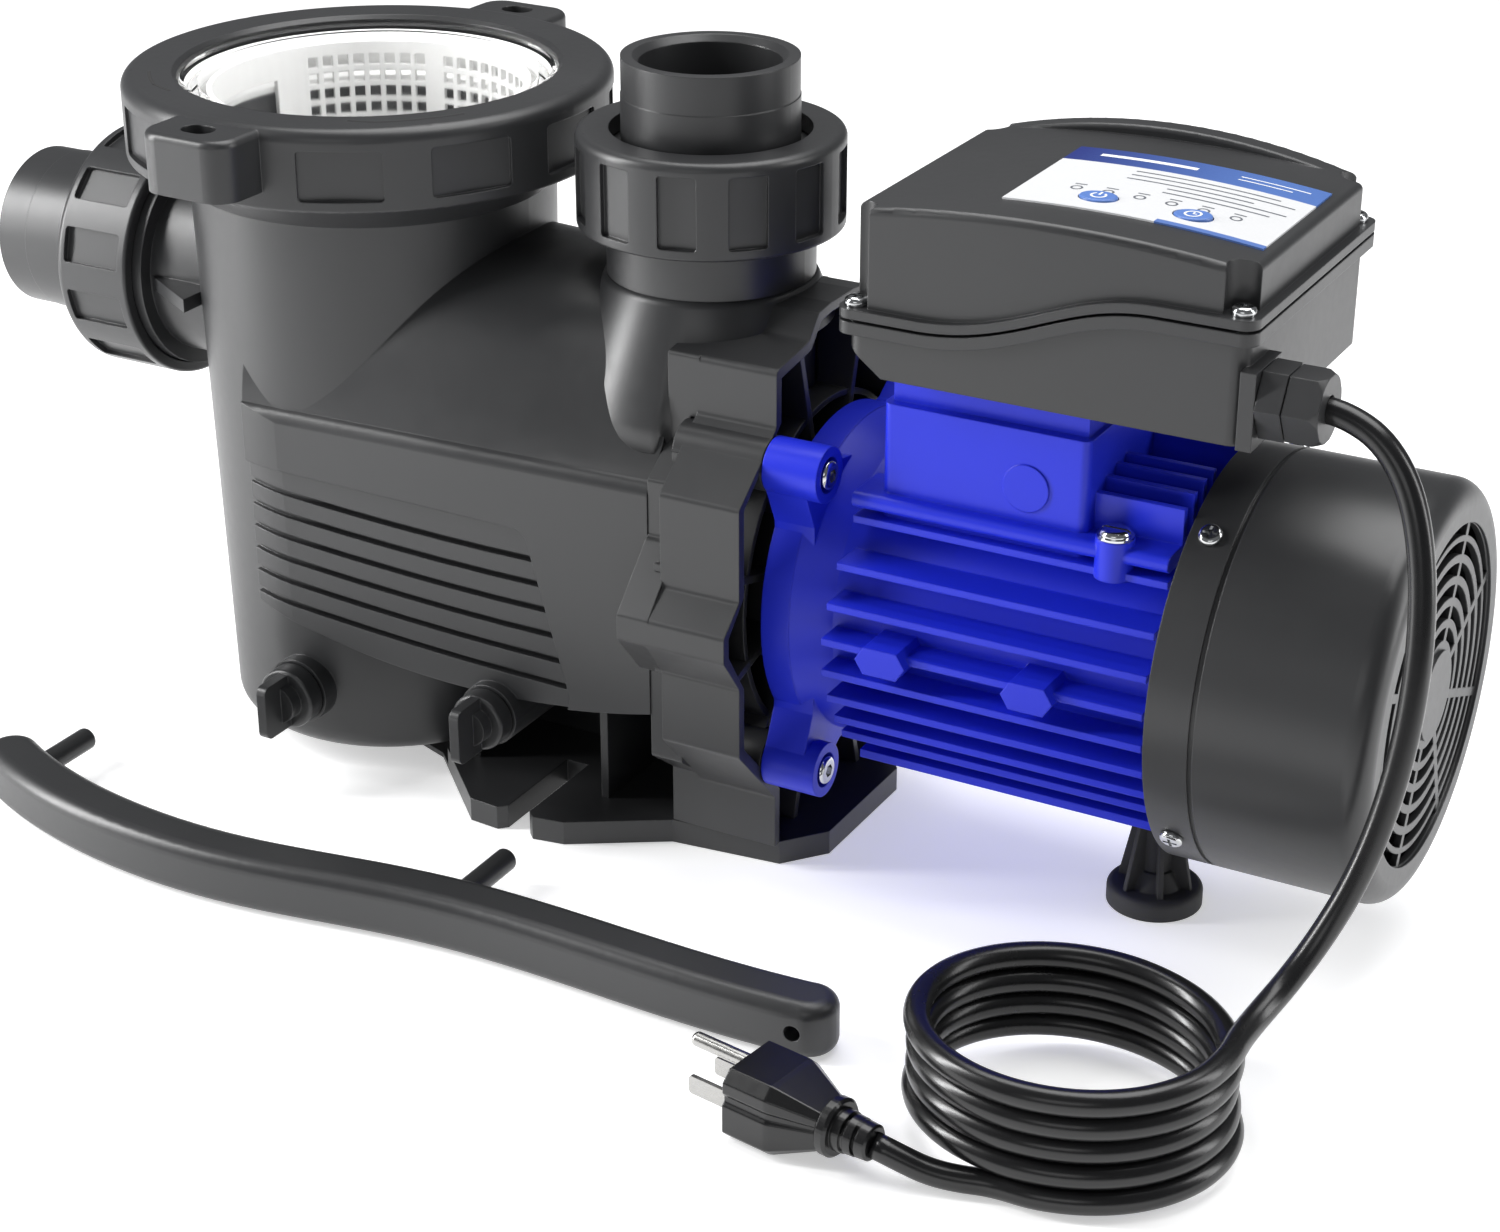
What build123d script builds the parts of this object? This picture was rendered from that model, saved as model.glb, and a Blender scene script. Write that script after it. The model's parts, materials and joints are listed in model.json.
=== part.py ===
from build123d import *
import math
import os

# Self-priming pool pump. Millimetres, +Z up. The origin is on the floor, straight below the discharge
# port, in the plane of the shaft. The motor points to +X and the suction port to -X.

# --- Driving dimensions ---
SHAFT_Z = 100.6
SUCTION_Z = 170.0
PIPE_R = 30.15
SOCKET_R = 24.15
SOCKET_DEPTH = 26.0
PORT_BORE_R = 22.0
NECK_R = 36.0
THREAD_R = 41.5
NUT_R = 46.0
NUT_HOLE_R = 34.5
NUT_LENGTH = 33.0
DISCHARGE_TOP_Z = 275.0
DISCHARGE_NUT_Z = 217.5
SUCTION_END_X = -296.0
SUCTION_NUT_X = -222.0

POT_X = -140.0
POT_FLOOR_Z = 8.0
POT_RIM_Z = 238.0
POT_TOP_R = 66.0
POT_FOOT_R = 62.0
POT_CAVITY_R = 58.5
POT_MOUTH_R = 65.5
COLLAR_R = 77.0
RING_R = 87.2
RING_HOLE_R = 67.6
RING_BOTTOM_Z = 225.5
RING_TOP_Z = 254.0
EAR_PITCH_R = 93.5
EAR_LEAN = -1.5

HOOD_RIDGE_Z = 143.0
HOOD_END_X = 9.4
HOOD_FRONT_HALF = 65.5
HOOD_REAR_HALF = 59.0
SHOULDER = 2.4
NOSE_FLANK = ((56.5, 174.0), (38.0, 195.0), (20.0, 202.0), (0.0, 203.5))
TAIL_FLANK = ((49.0, 158.0), (38.0, 181.0), (20.0, 195.5), (0.0, 199.5))
POT_DRAIN_X = -138.0
VOLUTE_DRAIN_X = -55.0

BRACKET_X = 9.5
BRACKET_REAR_X = 50.5
BLOCK_X = 20.5
BASE_THICK = 9.0
SLOT_X = -43.5
SLOT_WIDTH = 9.0

FLANGE_X = 51.0
EAR_Y = 48.0
EAR_RISE = 54.6
BARREL_R = 52.0
EAR_R = 9.6
EAR_REACH = math.hypot(EAR_Y, EAR_RISE)
FIN_END_X = 190.0
FIN_TIP_R = 63.5
FIN_HEIGHTS = (141.8, 128.0, 115.0, 102.6, 91.0, 80.7, 71.5, 64.0)
SHAFT_R = 7.0
COVER_X = 193.0
COVER_BEAD_X = 207.7
COVER_END_X = 265.0
COVER_R = 70.0
FOOT_X = 174.7

BOX_LEFT_X = 76.5
BOX_RIGHT_X = 215.0
BOX_HALF = 57.0
BOX_BOTTOM_Z = 194.5
BAND_LOW_Z = 217.0
BAND_HIGH_Z = 235.5
BAND_HEIGHT = 8.3
LID_TOP_Z = 251.0
LID_SCREWS = ((BOX_LEFT_X + 5, BAND_LOW_Z + 1.5), (BOX_RIGHT_X - 6, BAND_HIGH_Z + 1.5))
GLAND_Y = -45.0
GLAND_Z = 208.5
BUTTON_X = (150.0, 181.0)
BUTTON_Y = -23.0
BUTTON_TOP_Z = (255.3, 254.1)

CORD_R = 4.15
COIL_X, COIL_Y = 203.0, -140.0
COIL_HALF_X, COIL_HALF_Y = 47.5, 42.0
COIL_TURNS = 5
PLUG_FACE = (116.0, -184.0)
PLUG_Z = 12.4
WRENCH_PEG_X = (-213.5, -26.5)

os.makedirs("parts", exist_ok=True)


def box(x0, x1, y0, y1, z0, z1):
    size = Box(x1 - x0, y1 - y0, z1 - z0)
    return Pos((x0 + x1) / 2, (y0 + y1) / 2, (z0 + z1) / 2) * size


def rod_x(x0, x1, r, y=0.0, z=SHAFT_Z):
    return Pos((x0 + x1) / 2, y, z) * Rot(0, 90, 0) * Cylinder(r, x1 - x0)


def rod_y(y0, y1, r, x, z):
    return Pos(x, (y0 + y1) / 2, z) * Rot(90, 0, 0) * Cylinder(r, y1 - y0)


def rod_z(z0, z1, r, x=0.0, y=0.0):
    return Pos(x, y, (z0 + z1) / 2) * Cylinder(r, z1 - z0)


def tube_x(x0, x1, outer, inner, y=0.0, z=SHAFT_Z):
    return rod_x(x0, x1, outer, y, z) - rod_x(x0 - 1, x1 + 1, inner, y, z)


def tube_z(z0, z1, outer, inner, x=0.0, y=0.0):
    return rod_z(z0, z1, outer, x, y) - rod_z(z0 - 1, z1 + 1, inner, x, y)


def cone_z(z0, z1, r0, r1, x=0.0, y=0.0):
    return Pos(x, y, (z0 + z1) / 2) * Cone(r0, r1, z1 - z0)


def ring_x(x, ring_r, wire_r, y=0.0, z=SHAFT_Z):
    return Pos(x, y, z) * Rot(0, 90, 0) * Torus(ring_r, wire_r)


def prism_x(x0, x1, outline):
    """A closed (y, z) outline carried along X."""
    face = Plane.YZ.offset(x0) * make_face(Polyline(*outline, close=True))
    return extrude(face, x1 - x0)


def prism_y(y0, y1, outline):
    """A closed (x, z) outline carried along Y."""
    face = Plane.XZ.offset(-y0) * make_face(Polyline(*outline, close=True))
    return extrude(face, -(y1 - y0))


def prism_z(z0, z1, outline):
    """A closed (x, y) outline carried along Z."""
    face = Plane.XY.offset(z0) * make_face(Polyline(*outline, close=True))
    return extrude(face, z1 - z0)


def soft_prism_x(x0, x1, outline, radius):
    """A prism along X whose corners are rounded, all but those on the ground."""
    face = make_face(Polyline(*outline, close=True))
    corners = [v for v in face.vertices() if v.Y > 2]
    return Plane.YZ.offset(x0) * extrude(fillet(corners, radius), x1 - x0)


def mirrored(shape):
    return shape + mirror(shape, Plane.XZ)


def save(node, shape):
    if isinstance(shape, (list, tuple, ShapeList)):
        shape = Compound(children=list(shape))
    export_step(shape, f"parts/{node}.step")


# --- Pump body ---
def hood_section(x, half, flank, bottom_z):
    """Crown on straight sides with a soft shoulder between; flank lists half the crown's points."""
    side = half + SHOULDER
    foot = (half - 1.0, HOOD_RIDGE_Z + 1.5)
    shoulder_z = HOOD_RIDGE_Z - 4
    edges = Polyline((-side, shoulder_z), (-side, bottom_z), (side, bottom_z), (side, shoulder_z))
    right = ThreePointArc((side, shoulder_z), (side - 0.9, HOOD_RIDGE_Z - 0.6), foot)
    left = ThreePointArc((-foot[0], foot[1]), (-side + 0.9, HOOD_RIDGE_Z - 0.6), (-side, shoulder_z))
    mirror_flank = [(-y, z) for y, z in reversed(flank[:-1])]
    crown = Spline([foot] + list(flank) + mirror_flank + [(-foot[0], foot[1])])
    return Plane.YZ.offset(x) * make_face(edges + right + crown + left)


def hood_plan(grow):
    """The hood from above: a bow round the pot, then straight sides towards the motor."""
    front = HOOD_FRONT_HALF + grow
    rear = HOOD_REAR_HALF + grow
    nose_x = -16.0
    nose_y = math.sqrt(front ** 2 - nose_x ** 2)
    line = Polyline((POT_X, -front), (HOOD_END_X, -rear), (HOOD_END_X, rear), (POT_X, front))
    back = ThreePointArc((POT_X, front), (POT_X + nose_x / 2, math.sqrt(front ** 2 - nose_x ** 2 / 4)),
                         (POT_X + nose_x, nose_y))
    nose = Line((POT_X + nose_x, nose_y), (POT_X + nose_x, -nose_y))
    fore = ThreePointArc((POT_X + nose_x, -nose_y),
                         (POT_X + nose_x / 2, -math.sqrt(front ** 2 - nose_x ** 2 / 4)), (POT_X, -front))
    return extrude(make_face(line + back + nose + fore), 220)


def hood_side():
    """The hood's outline from the side: its lower edge sags from the pot to the bracket."""
    left = POT_X - 16
    top = Polyline((HOOD_END_X, 58), (HOOD_END_X, 215), (left, 215), (left, 66))
    sag = ThreePointArc((left, 66), (-72, 50.5), (HOOD_END_X, 58))
    face = Plane.XZ * make_face(top + sag)
    return extrude(face, 80, both=True)


def hood():
    taper = (HOOD_FRONT_HALF - HOOD_REAR_HALF) / (HOOD_END_X - POT_X)
    nose = hood_section(POT_X - 16, HOOD_FRONT_HALF + 16 * taper, NOSE_FLANK, 45)
    tail = hood_section(HOOD_END_X, HOOD_REAR_HALF, TAIL_FLANK, 45)
    block = loft([nose, tail], ruled=True) & hood_plan(SHOULDER) & hood_side()
    block = block - (louvre_recess() - hood_plan(0))
    return block - (louvre_grooves() - hood_plan(-3.2))


def louvre_recess():
    outline = ((-175, 124), (-156, 122), (-42, 118), (-38.5, 115), (-22.5, 57), (-26, 40), (-175, 40))
    return mirrored(prism_y(-90, -45, outline))


def louvre_grooves():
    left_z = (115.5, 106.9, 98.2, 89.4, 80.6, 71.9)
    right = ((-37.0, 107.7), (-34.4, 98.7), (-32.0, 89.3), (-29.4, 80.0), (-27.2, 70.6), (-25.2, 61.2))
    height = 2.3
    grooves = None
    for z, (x_end, z_end) in zip(left_z, right):
        middle = ((-158 + x_end) / 2, (z + z_end) / 2 - 1.6)
        upper = ThreePointArc((-158, z), middle, (x_end, z_end))
        lower = ThreePointArc((x_end, z_end - height), (middle[0], middle[1] - height), (-158, z - height))
        ends = [Line((x_end, z_end), (x_end, z_end - height)), Line((-158, z - height), (-158, z))]
        face = Plane.XZ.offset(90) * make_face([upper, lower] + ends)
        cut = extrude(face, -50)
        grooves = cut if grooves is None else grooves + cut
    return mirrored(grooves)


def pot_outside():
    wall = cone_z(POT_FLOOR_Z, 214, POT_FOOT_R, POT_TOP_R, POT_X)
    wall = fillet(wall.edges().sort_by(Axis.Z)[0], 9)
    shoulder = cone_z(213.9, 223, POT_TOP_R, COLLAR_R, POT_X)
    collar = rod_z(222.9, POT_RIM_Z, COLLAR_R, POT_X)
    return wall + shoulder + collar


def ports_outside():
    riser = rod_z(150, 222, NECK_R) + rod_z(221, 236, THREAD_R)
    flare = cone_z(170, 198, NECK_R + 12.0, NECK_R + 1.2) - box(HOOD_END_X - 0.1, 60, -60, 60, 160, 200)
    riser = riser + flare
    inlet = rod_x(SUCTION_NUT_X + 3, POT_X - 50, NECK_R, z=SUCTION_Z)
    inlet_thread = rod_x(SUCTION_NUT_X - 18.5, SUCTION_NUT_X + 4, THREAD_R, z=SUCTION_Z)
    inlet_rib = prism_y(-2.5, 2.5, ((-215, 140), (-196, 108), (-196, 140)))
    side_outline = ((-216, -30), (-216, -37), (-190, -52), (-190, -30))
    side_ribs = mirrored(prism_z(SUCTION_Z - 2.5, SUCTION_Z + 2.5, side_outline))
    return riser + inlet + inlet_thread + inlet_rib + side_ribs


def volute_outside():
    casing = rod_x(-66, HOOD_END_X, 57.5)
    boss_pot = rod_y(-68, -50, 12.5, POT_DRAIN_X, 34)
    boss_volute = rod_y(-66, -30, 11.5, VOLUTE_DRAIN_X, 44)
    ribs = box(-80, -77, -40, 40, BASE_THICK, 60) + box(-22, -19, -44, 44, BASE_THICK, 60)
    ribs = ribs + box(-110, 9, -3, 3, BASE_THICK, 40)
    return casing + boss_pot + boss_volute + ribs


def pump_cavities():
    pot = rod_z(17, POT_RIM_Z + 1, POT_CAVITY_R, POT_X) + rod_z(229, POT_RIM_Z + 1, POT_MOUTH_R, POT_X)
    inlet = rod_x(SUCTION_NUT_X - 30, POT_X - 40, PORT_BORE_R, z=SUCTION_Z)
    riser = rod_z(SHAFT_Z, 240, PORT_BORE_R)
    volute = rod_x(-60, HOOD_END_X + 1, 53)
    seat = tube_x(7.0, HOOD_END_X + 1, 57.0, 54.0)
    eye = rod_x(-95, -58, 19)
    drains = rod_y(-70, -40, 6.6, POT_DRAIN_X, 34) + rod_y(-67, -36, 6.6, VOLUTE_DRAIN_X, 44)
    groove = tube_z(POT_RIM_Z - 2.2, POT_RIM_Z + 1, 72.7, 68.3, POT_X)
    return [pot, inlet, riser, volute, seat, eye, drains, groove]


def pump_body():
    body = pot_outside() + hood() + ports_outside() + volute_outside()
    for cavity in pump_cavities():
        body = body - cavity
    return body


# --- Base plate ---
def base_half_outline():
    slot0 = SLOT_X - SLOT_WIDTH / 2
    slot1 = SLOT_X + SLOT_WIDTH / 2
    return ((62, 0), (62, -27), (50, -42), (9, -46.5), (-24, -67), (slot1 + 3, -69), (slot1, -66),
            (slot1, -26), (slot0, -26), (slot0, -66), (slot0 - 3, -69), (-63, -68), (-99, -33), (-118, -26),
            (-118, 0))


def base_plate():
    plate = mirrored(prism_z(0, BASE_THICK, base_half_outline()))
    return plate - rod_z(2, 40, POT_FOOT_R + 0.4, POT_X)


# --- Ribbed bracket between pump and motor ---
def bracket_outline(inset):
    """Half of the stepped outline, top to bottom, on the -Y side; inset shrinks it for the pocket."""
    t = inset
    return ((-8 + t * 0.1, 199 - t), (-17 + t * 0.5, 198 - t), (-24 + t * 0.5, 190 - t),
            (-46.5 + t, 187 - t), (-46.5 + t, 167 + t * 0.3), (-72 + t, 147 - t * 0.3),
            (-72 + t, 114 + t * 0.3), (-82.5 + t, 105 - t * 0.3), (-82.5 + t, 96 + t * 0.3),
            (-72 + t, 82 - t * 0.3), (-72 + t, 56 + t * 0.6), (-46.5 + t, 29 + t * 0.6),
            (-46.5 + t, 0.6 + t))


def bracket_front_outline():
    """The same half outline ahead of the side blocks: only top block, finger and foot are there."""
    return ((-8, 199), (-17, 198), (-24, 190), (-46.5, 187), (-46.5, 156), (-61, 146), (-61, 126),
            (-63, 125), (-82.5, 105), (-82.5, 96), (-68, 79), (-61, 78), (-61, 42), (-46.5, 31),
            (-46.5, 0.6))


def whole_outline(half):
    other = [(-y, z) for y, z in reversed(half)]
    return tuple(half) + tuple(other)


def seal_bracket():
    shell = soft_prism_x(BLOCK_X, BRACKET_REAR_X, whole_outline(bracket_outline(0)), 2.5)
    shell = shell + soft_prism_x(BRACKET_X, BLOCK_X + 1, whole_outline(bracket_front_outline()), 1.6)
    pocket = prism_x(18, BRACKET_REAR_X + 1, whole_outline(bracket_outline(3.4)))
    ring = tube_x(17, 48, 40, 37.5)
    outer_ring = tube_x(17, 46, 61, 58.8) & prism_x(17, 47, whole_outline(bracket_outline(2)))
    ribs = None
    for k in range(12):
        rib = Pos(0, 0, SHAFT_Z) * Rot(15 + 30 * k, 0, 0) * box(17, 47, -1.3, 1.3, 38.5, 110)
        ribs = rib if ribs is None else ribs + rib
    ribs = ribs & prism_x(17, 48, whole_outline(bracket_outline(1.5)))
    body = shell - pocket + ring + outer_ring + ribs
    for dy in (-EAR_Y, EAR_Y):
        for dz in (-EAR_RISE, EAR_RISE):
            body = body + (rod_x(17, 50.5, 9.5, dy, SHAFT_Z + dz) - rod_x(16, 52, 3.2, dy, SHAFT_Z + dz))
    spigot = tube_x(2, 20, 52.6, 46)
    hub = rod_x(6, 30, 26)
    web = rod_x(8, 14, 52.6)
    body = body + spigot + web + hub
    body = body - rod_x(0, 60, 9.0) - rod_x(-1, 10, 19.4) - rod_z(150, 240, NECK_R + 0.5)
    return body - box(-60, 60, -60, 60, -20, BASE_THICK + 0.4)


# --- Pumping parts ---
def diffuser():
    shell = tube_x(-56, 1.5, 52.5, 49.5)
    front = tube_x(-58, -54, 52.5, 15)
    vanes = None
    for k in range(7):
        vane = Pos(0, 0, SHAFT_Z) * Rot(360 / 7 * k, 0, 0) * box(-50, -38, -1.2, 1.2, 22, 50)
        vanes = vane if vanes is None else vanes + vane
    return shell + front + vanes


def impeller():
    back = rod_x(-14, -10, 46)
    front = tube_x(-32, -29, 46, 16)
    eye = tube_x(-37, -29, 19, 16)
    hub = rod_x(-24, -9, 12)
    vanes = None
    for k in range(6):
        arc = ThreePointArc((15, 0), (29, 8), (45.5, 2))
        wall = Plane.YZ.offset(-30) * trace(arc, 2.4)
        vane = Pos(0, 0, SHAFT_Z) * Rot(60 * k, 0, 0) * extrude(wall, 17)
        vanes = vane if vanes is None else vanes + vane
    return back + front + eye + hub + vanes - rod_x(-26, 1, SHAFT_R)


# --- Unions ---
def union_nut_blank():
    """A nut about Z with its open, threaded end at z = 0 and its captive lip at the top."""
    blank = rod_z(0, NUT_LENGTH, NUT_R)
    blank = fillet(blank.edges().sort_by(Axis.Z)[-1], 3.0)
    blank = fillet(blank.edges().sort_by(Axis.Z)[0], 1.2)
    blank = blank - rod_z(-1, NUT_LENGTH - 6, THREAD_R + 0.5) - rod_z(-1, NUT_LENGTH + 1, NUT_HOLE_R)
    pocket = box(NUT_R - 2.2, NUT_R + 4, -6.6, 6.6, 3.6, NUT_LENGTH - 4.5)
    pocket = fillet(pocket.edges().filter_by(Axis.X), 1.2)
    for k in range(12):
        blank = blank - Rot(0, 0, 15 + 30 * k) * pocket
    return blank


def union_tail_blank(length):
    """A tail about Z: flange at z = 0, open pipe socket at z = length."""
    tail = rod_z(0, length, PIPE_R) + rod_z(0, 4.8, THREAD_R - 0.9) + rod_z(0, length - 13, PIPE_R + 0.25)
    tail = tail - rod_z(-1, length + 1, PORT_BORE_R) - rod_z(length - SOCKET_DEPTH, length + 1, SOCKET_R)
    mouth = cone_z(length - 2.2, length + 0.1, SOCKET_R, SOCKET_R + 2.2)
    return tail - mouth


def union(node_prefix, place, tail_length):
    save(f"{node_prefix}_union_nut", place * union_nut_blank())
    save(f"{node_prefix}_tail", place * Pos(0, 0, 21.6) * union_tail_blank(tail_length))
    save(f"{node_prefix}_oring", place * Pos(0, 0, 20.2) * Torus(31.0, 1.1))


# --- Strainer ---
def lock_ring():
    ring = rod_z(RING_BOTTOM_Z, RING_TOP_Z, RING_R)
    ring = fillet(ring.edges().sort_by(Axis.Z)[-1], 4.5)
    ring = fillet(ring.edges().sort_by(Axis.Z)[0], 1.2)
    pocket = box(RING_R - 2.4, RING_R + 5, -14.5, 14.5, RING_BOTTOM_Z + 4, RING_TOP_Z - 7)
    pocket = fillet(pocket.edges().filter_by(Axis.X), 1.5)
    for k in range(12):
        if k % 6 != 3:
            ring = ring - Rot(0, 0, 30 * k) * pocket
    ear = box(-18.5, 18.5, -105, -72, RING_TOP_Z - 22, RING_TOP_Z - 1)
    ear = fillet(ear.edges().filter_by(Axis.Z).group_by(Axis.Y)[0], 9)
    ear = fillet(ear.edges().sort_by(Axis.Z)[-1], 2.5)
    ears = ear + Rot(0, 0, 180) * ear
    ring = ring + ears
    ring = ring - rod_z(RING_BOTTOM_Z - 1, RING_TOP_Z - 6.5, COLLAR_R + 2.8)
    ring = ring - rod_z(RING_BOTTOM_Z, RING_TOP_Z + 1, RING_HOLE_R)
    ring = ring - cone_z(RING_TOP_Z - 1.5, RING_TOP_Z + 0.1, RING_HOLE_R, RING_HOLE_R + 1.6)
    slot = rod_z(200, 270, 4.6, 1.6) + rod_z(200, 270, 4.6, -1.6) + box(-1.6, 1.6, -4.6, 4.6, 200, 270)
    for angle in (0, 180):
        ring = ring - Rot(0, 0, angle) * Pos(0, -EAR_PITCH_R, 0) * slot
    return Pos(POT_X, 0, 0) * Rot(0, 0, EAR_LEAN) * ring


def strainer_lid():
    flange = rod_z(241.0, 246.9, 78.5, POT_X)
    window = rod_z(246.8, 251.8, 67.0, POT_X)
    window = fillet(window.edges().sort_by(Axis.Z)[-1], 1.6)
    spigot = tube_z(233, 241.1, 64.4, 60.4, POT_X)
    hollow = rod_z(240, 248.0, 60.4, POT_X)
    return flange + window + spigot - hollow


def strainer_basket():
    wall = cone_z(24, 245.5, 50.5, 57.6, POT_X) - cone_z(26.4, 246.5, 48.3, 55.4, POT_X)
    rim = tube_z(229.4, 232.2, 64.6, 56.0, POT_X)
    inlet = box(POT_X - 70, POT_X - 30, -15.5, 15.5, 143, 234)
    return wall + rim - inlet


def drain_plug(x, y, z, size):
    head = rod_y(y - 7, y, size, x, z)
    head = fillet(head.edges().sort_by(Axis.Y)[0], 1.2)
    hub = rod_y(y - 12, y - 6.9, size * 0.62, x, z)
    wing = box(x - 1.9, x + 1.9, y - 21, y - 6.9, z - 10.4, z + 10.4)
    wing = fillet(wing.edges().filter_by(Axis.X).group_by(Axis.Y)[0], 3.0)
    shank = rod_y(y - 0.1, y + 11, 6.53, x, z)
    return head + hub + wing + shank


# --- Motor ---
def motor_housing():
    barrel = tube_x(60, COVER_X - 2.6, BARREL_R, 47.5)
    flange = rod_x(FLANGE_X, 62, 50) - rod_x(FLANGE_X - 1, 58, 27.2) - rod_x(57, 63, 20.1)
    nose = Pos(68, 0, SHAFT_Z) * Rot(0, 90, 0) * Cone(58, BARREL_R, 14)
    nose = nose - rod_x(60, 76, 47.5)
    flange_disc = tube_x(FLANGE_X, 61.5, 58, 27.2)
    body = barrel + flange + nose + flange_disc
    for dy in (-EAR_Y, EAR_Y):
        for dz in (-EAR_RISE, EAR_RISE):
            lean = math.degrees(math.atan2(dz, dy))
            web = prism_x(FLANGE_X, 66, ((44, -25), (58, -13.5), (EAR_REACH, -EAR_R + 0.4),
                                         (EAR_REACH, EAR_R - 0.4), (58, 13.5), (44, 25)))
            ear = rod_x(FLANGE_X, 71, EAR_R, dy, SHAFT_Z + dz)
            body = body + Pos(0, 0, SHAFT_Z) * Rot(lean, 0, 0) * web + ear
            body = body - rod_x(FLANGE_X - 1, 80, 3.0, dy, SHAFT_Z + dz)
            body = body - rod_x(68, 80, 6.2, dy, SHAFT_Z + dz)
    body = body - rod_x(62, COVER_X, 47.5)
    return body + motor_fins() + motor_pedestal()


def motor_fins():
    fins = None
    for z in FIN_HEIGHTS:
        tip = math.sqrt(FIN_TIP_R ** 2 - (z - SHAFT_Z) ** 2)
        root = math.sqrt(max(0.0, (BARREL_R - 2) ** 2 - (z - SHAFT_Z) ** 2))
        fin = box(76 + abs(z - 96) * 0.09, FIN_END_X, -tip, -root, z - 1.25, z + 1.25)
        fins = fin if fins is None else fins + fin
    ridge = box(80, FIN_END_X, -49.5, -30, 146, 151.5)
    ridge = fillet(ridge.edges().filter_by(Axis.X).group_by(Axis.Y)[0], 2.4)
    sole = box(84, FIN_END_X, -48, -20, 54.5, 57.5)
    fins = mirrored(fins + ridge + sole)
    for x in (100.0, 152.0):
        boss = prism_y(-67.5, -48, ((x - 9, 101.5), (x - 6, 106.3), (x + 6, 106.3),
                                    (x + 9, 101.5), (x + 6, 96.7), (x - 6, 96.7)))
        fins = fins + boss
    return fins


def motor_pedestal():
    stand = box(88, 160, -44, 44, 140, BOX_BOTTOM_Z - 12)
    stand = fillet(stand.edges().filter_by(Axis.Z), 3)
    seat = box(90, 158, -40, 40, BOX_BOTTOM_Z - 12.1, BOX_BOTTOM_Z - 0.3)
    medallion = rod_y(-44.6, -43, 8, 139, 163)
    ground_boss = rod_z(140, 153.5, 6.3, 170.5, -45)
    fins = None
    for k in range(4):
        y = 12 + 8 * k
        fin = box(156, FIN_END_X, -y - 1.2, -y + 1.2, 140, 168 - 0.5 * k * k)
        fins = fin if fins is None else fins + fin
    cavity = rod_x(55, 200, 47.5)
    return stand + seat + medallion + ground_boss + mirrored(fins) - cavity


def fan_cover():
    drum = rod_x(COVER_X, COVER_END_X, COVER_R)
    drum = fillet(drum.edges().sort_by(Axis.X)[-1], 8)
    drum = drum - tube_x(COVER_BEAD_X, COVER_BEAD_X + 1.6, COVER_R + 2, COVER_R - 0.9)
    inside = rod_x(COVER_X - 1, COVER_END_X - 3.5, COVER_R - 2.6)
    drum = drum - inside
    drum = drum - tube_x(COVER_END_X - 1.2, COVER_END_X + 1, 56.5, 15)
    for radius in (20, 27, 34, 41, 48, 54.2):
        slot = tube_x(COVER_END_X - 6, COVER_END_X + 2, radius + 2.1, radius - 2.1)
        drum = drum - (slot - grille_spokes())
    tab = box(COVER_X, COVER_X + 11, -7, 7, SHAFT_Z - COVER_R - 1.6, SHAFT_Z - COVER_R + 2)
    return drum + tab - cover_screw_holes()


def grille_spokes():
    spokes = None
    for k in range(8):
        spoke = Pos(0, 0, SHAFT_Z) * Rot(22.5 + 45 * k, 0, 0) * box(240, 280, -1.5, 1.5, 0, 60)
        spokes = spoke if spokes is None else spokes + spoke
    return spokes


def on_cover(angle, shape):
    """Turn a shape that is made at the -Y side of the shaft to its place round the cover."""
    return Pos(0, 0, SHAFT_Z) * Rot(-angle, 0, 0) * shape


COVER_SCREW_ANGLES = (55.0, -36.0, 125.0, -144.0)


def cover_screw_holes():
    holes = None
    for angle in COVER_SCREW_ANGLES:
        hole = on_cover(angle, rod_y(-90, -60, 2.3, COVER_X + 7, 0))
        holes = hole if holes is None else holes + hole
    return holes


def cover_screws():
    screws = []
    for angle in COVER_SCREW_ANGLES:
        head = rod_y(-COVER_R - 2.3, -COVER_R - 0.15, 3.9, COVER_X + 7, 0)
        head = fillet(head.edges().sort_by(Axis.Y)[0], 1.6)
        shank = rod_y(-COVER_R - 0.2, -60.5, 1.9, COVER_X + 7, 0)
        cross = box(COVER_X + 4.6, COVER_X + 9.4, -75, -COVER_R - 1.2, -0.5, 0.5)
        cross = cross + box(COVER_X + 6.5, COVER_X + 7.5, -75, -COVER_R - 1.2, -2.4, 2.4)
        screws.append(on_cover(angle, head + shank - cross))
    return screws


def cooling_fan():
    hub = tube_x(222, 244, 15, SHAFT_R)
    disc = tube_x(222, 224, 58, 12)
    blades = None
    for k in range(7):
        blade = Pos(0, 0, SHAFT_Z) * Rot(360 / 7 * k, 0, 0) * box(223, 248, -1.2, 1.2, 14, 58)
        blades = blade if blades is None else blades + blade
    return hub + disc + blades


def support_foot():
    disc = rod_z(0, 7, 16.6, FOOT_X)
    disc = fillet(disc.edges().sort_by(Axis.Z)[-1], 2.2)
    stem = rod_z(6, 35, 5.6, FOOT_X) + cone_z(6.9, 13, 10, 6.5, FOOT_X)
    ribs = None
    for k in range(6):
        blade = prism_y(-0.9, 0.9, ((4, 6), (13.5, 6), (8, 33), (4, 33)))
        rib = Pos(FOOT_X, 0, 0) * Rot(0, 0, 60 * k) * blade
        ribs = rib if ribs is None else ribs + rib
    saddle = box(FOOT_X - 11, FOOT_X + 11, -12, 12, 33, 54) - rod_x(100, 250, BARREL_R + 0.02)
    return disc + stem + ribs + saddle


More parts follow.
